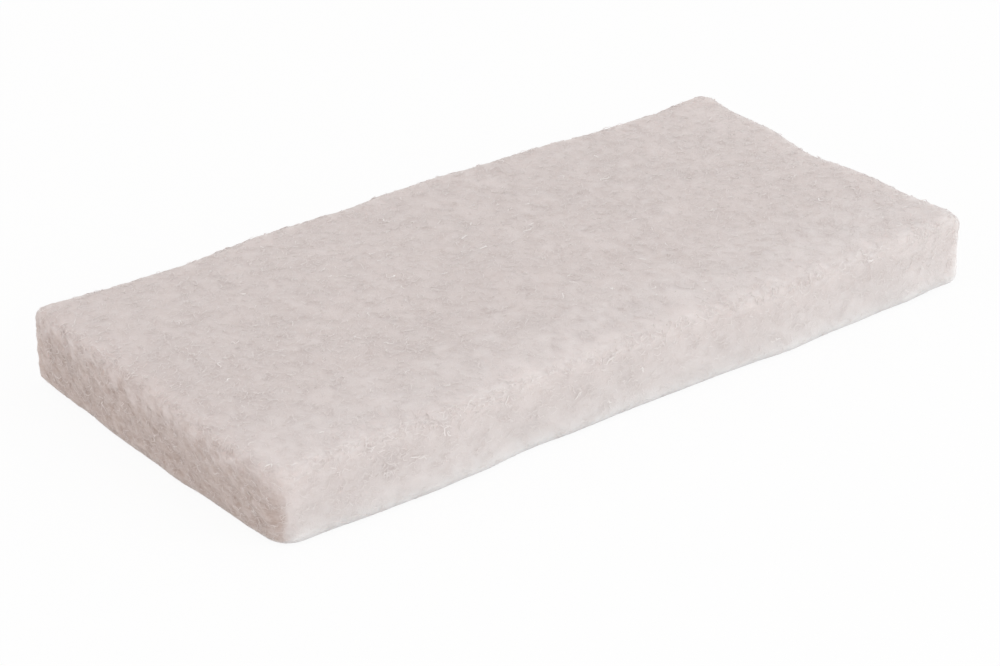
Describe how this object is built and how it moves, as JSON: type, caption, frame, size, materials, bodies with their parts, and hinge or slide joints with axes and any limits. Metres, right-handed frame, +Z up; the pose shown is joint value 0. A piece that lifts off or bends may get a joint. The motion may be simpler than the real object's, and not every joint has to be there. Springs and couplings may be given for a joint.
{
  "type": "edge cleaning pad",
  "caption": "Thick rectangular hand pad cut from soft off-white non-woven fibre, with softly rounded edges and slightly wavy cut sides.",
  "frame": {"origin": "on the underside that the pad rests on, below the middle of its bounding box", "axes": "+X along the pad's length, +Y across its width towards the back, +Z up through its thickness"},
  "size_m": [0.2546, 0.1238, 0.024],
  "materials": {
    "pad_fibre": "matt off-white bonded fibre web, open and springy, a little warmer and darker in the depth of the cut sides"
  },
  "bodies": {
    "root": {"pad": "pad_fibre"}
  },
  "joints": []
}
